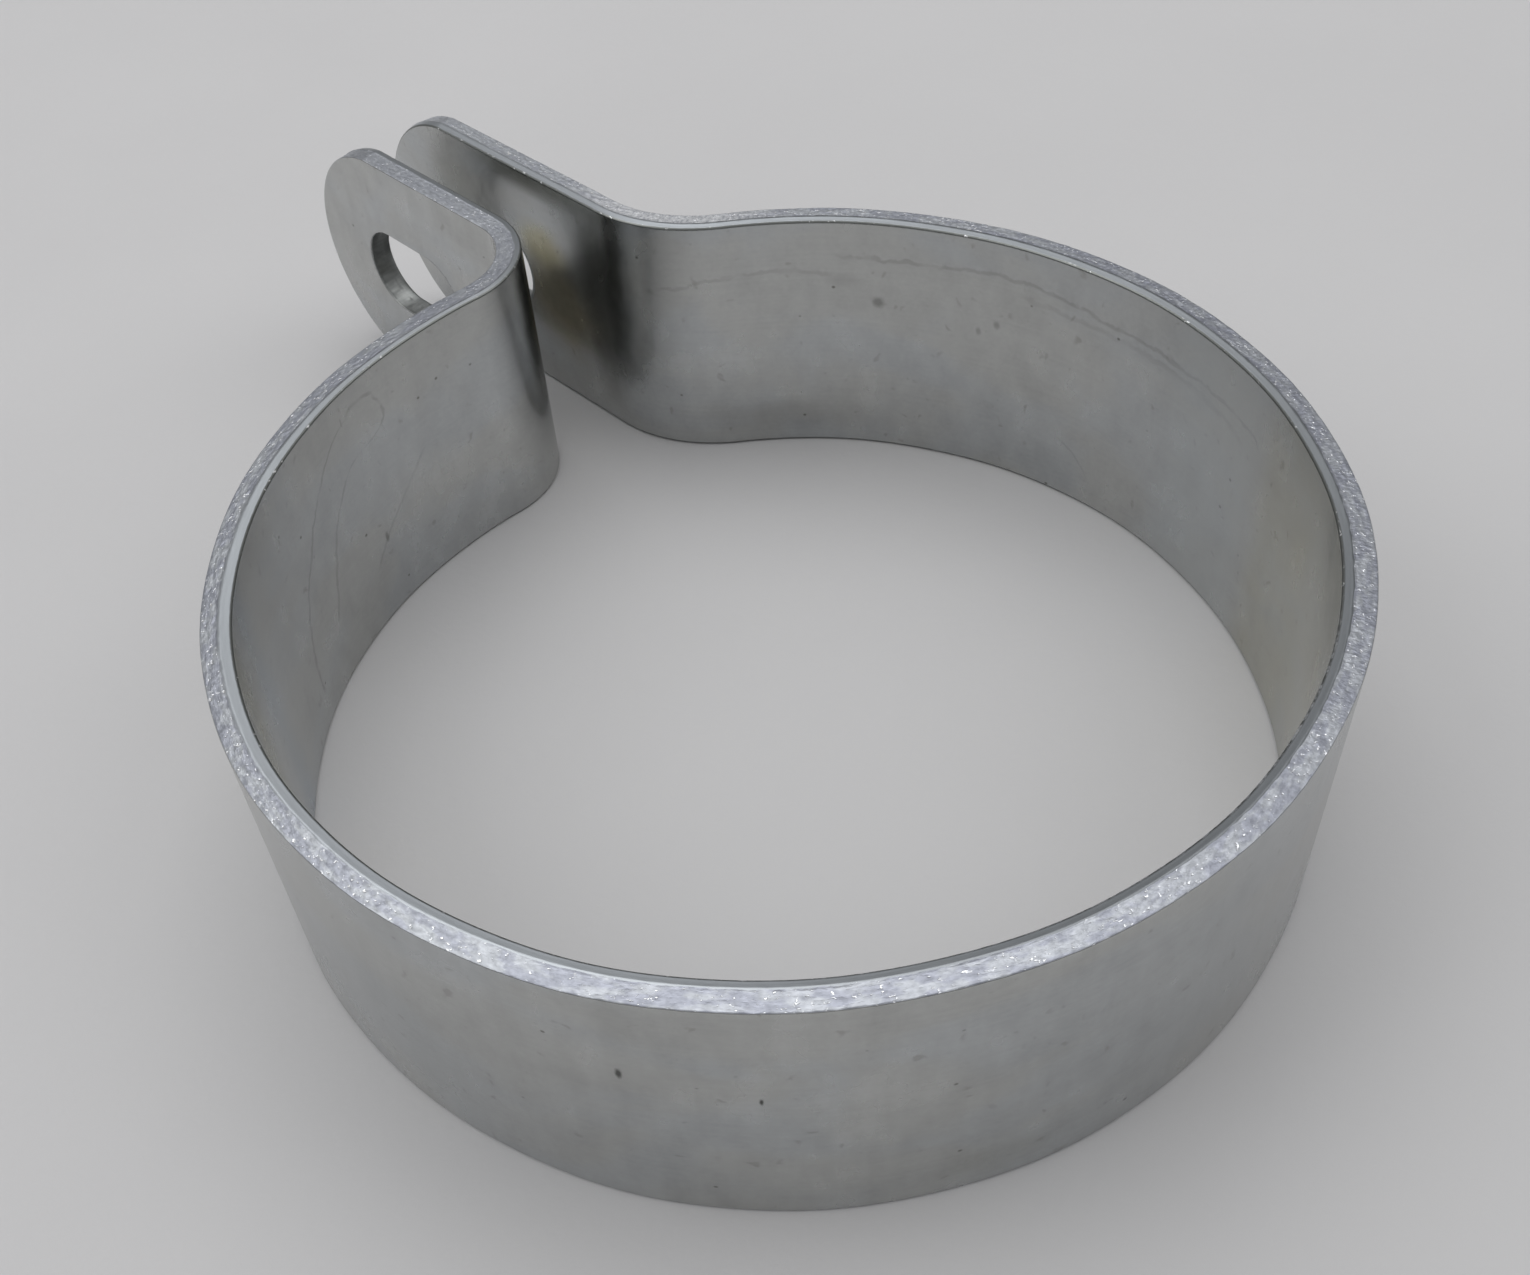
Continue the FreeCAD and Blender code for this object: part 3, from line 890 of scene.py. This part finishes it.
def slot_wall():
    """The punched slot's wall: smooth, faintly streaked through the thickness, its colour darkened as painted
    dark reflection.
    """
    n = Nodes("slot_wall")
    flat = n.pattern()
    streak = n.noise(n.scaled(flat, (2.4, 2.4, 0.4)), 1.0, 2.0, 0.5)
    # Darker than the faces: painted dark reflection inside the slot.
    colour = n.ramp(streak, [(0.3, (0.27, 0.28, 0.275)), (0.7, (0.34, 0.35, 0.345))])
    return n.metal(colour, 0.36, n.bump(streak, 0.006 * MM, 0.6))


def floor_material():
    """A plain pale sheet, very faintly clouded and grained."""
    n = Nodes("pale_floor")
    coords = n.tree.nodes.new("ShaderNodeTexCoord").outputs["Object"]
    cloud = n.noise(coords, 14.0, 4.0, 0.55)
    colour = n.ramp(cloud, [(0.3, (0.668, 0.664, 0.668)), (0.7, (0.692, 0.688, 0.692))])
    n.link(colour, n.shader.inputs["Base Color"])
    n.shader.inputs["Roughness"].default_value = 0.75
    n.shader.inputs["Specular IOR Level"].default_value = 0.2
    n.link(n.bump(n.noise(coords, 900.0, 3.0, 0.6), 0.0002, 0.25), n.shader.inputs["Normal"])
    return n.material


# ---------------------------------------------------------------- the piece

strap = build_strap()
for material in (
    zinc_face("zinc_pipe_side", pipe_side_marks),
    zinc_face("zinc_outer", outer_marks),
    sheared_land(),
    sheared_break(),
    slot_wall(),
):
    strap.data.materials.append(material)
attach(strap, "root")
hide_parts("clamp_band")

# ---------------------------------------------------------------- stage

floor_mesh = bpy.data.meshes.new("floor")
half = FLOOR_SIZE / 2
corners = [(-half, -half), (half, -half), (half, half), (-half, half)]
floor_mesh.from_pydata([(x, y, cad_low.z) for x, y in corners], [], [(0, 1, 2, 3)])
floor_mesh.materials.append(floor_material())
floor = bpy.data.objects.new("floor", floor_mesh)
bpy.context.scene.collection.objects.link(floor)

# ---------------------------------------------------------------- light

# Grey level of the surroundings, by height: 0 is straight down, 0.5 level and 1 straight up.
SKY = [(0.0, 0.29), (0.3, 0.29), (0.48, 0.4), (0.62, 0.4), (0.82, 0.5), (0.9, 0.62), (1.0, 0.62)]
SKY_TINT = (0.997, 1.0, 1.012)

world = bpy.data.worlds.new("studio")
bpy.context.scene.world = world
world.use_nodes = True
background = world.node_tree.nodes["Background"]
coords = world.node_tree.nodes.new("ShaderNodeTexCoord")
split = world.node_tree.nodes.new("ShaderNodeSeparateXYZ")
ramp = world.node_tree.nodes.new("ShaderNodeValToRGB")
world.node_tree.links.new(coords.outputs["Generated"], split.inputs[0])
world.node_tree.links.new(split.outputs[2], ramp.inputs[0])
world.node_tree.links.new(ramp.outputs[0], background.inputs[0])
elements = ramp.color_ramp.elements
while len(elements) < len(SKY):
    elements.new(0.5)
for element, (position, level) in zip(elements, SKY):
    element.position = position
    element.color = (*(level * share for share in SKY_TINT), 1.0)
background.inputs[1].default_value = 1.0


LIGHT_DISTANCE = 1.1


def area_light(name, azimuth, elevation, distance, size, power):
    """A square soft box that faces the ring. Azimuth is measured from +Y toward +X."""
    a, e = math.radians(azimuth), math.radians(elevation)
    away = Vector((math.sin(a) * math.cos(e), math.cos(a) * math.cos(e), math.sin(e)))
    data = bpy.data.lights.new(name, "AREA")
    data.size = size
    data.energy = power
    light = bpy.data.objects.new(name, data)
    light.location = away * distance
    light.rotation_euler = (-away).to_track_quat("-Z", "Y").to_euler()
    bpy.context.scene.collection.objects.link(light)


# Name, azimuth and elevation in degrees, size in metres, power in watts.
for name, azimuth, elevation, size, power in (
    ("key", 38.0, 68.0, 0.85, 2.65),
    ("left", -53.0, 45.0, 0.7, 1.95),
    ("right", 127.0, 45.0, 0.7, 1.15),
):
    area_light(name, azimuth, elevation, LIGHT_DISTANCE, size, power)

# ---------------------------------------------------------------- camera

# In degrees: azimuth from +Y toward +X, elevation downward; a positive roll raises the right side.
CAMERA_PLACE = Vector((-79.94, -87.53, 119.97)) * MM
CAMERA_AZIMUTH, CAMERA_ELEVATION, CAMERA_ROLL = 37.05, 46.69, -7.66
CAMERA_LENS = 39.306
CAMERA_SHIFT = (0.06, 0.03115)

a, e, r = (math.radians(v) for v in (CAMERA_AZIMUTH, CAMERA_ELEVATION, CAMERA_ROLL))
forward = Vector((math.sin(a) * math.cos(e), math.cos(a) * math.cos(e), -math.sin(e)))
level = Vector((math.cos(a), -math.sin(a), 0))
raised = level.cross(forward)
right = level * math.cos(r) + raised * math.sin(r)
up = raised * math.cos(r) - level * math.sin(r)
camera_data = bpy.data.cameras.new("camera")
camera_data.lens = CAMERA_LENS
camera_data.sensor_width = 36
camera_data.shift_x, camera_data.shift_y = CAMERA_SHIFT
camera_data.clip_start, camera_data.clip_end = 0.01, 20
camera = bpy.data.objects.new("camera", camera_data)
camera.matrix_world = Matrix((right, up, -forward)).transposed().to_4x4()
camera.location = CAMERA_PLACE
bpy.context.scene.collection.objects.link(camera)
bpy.context.scene.camera = camera
bpy.context.scene.view_settings.view_transform = "Standard"
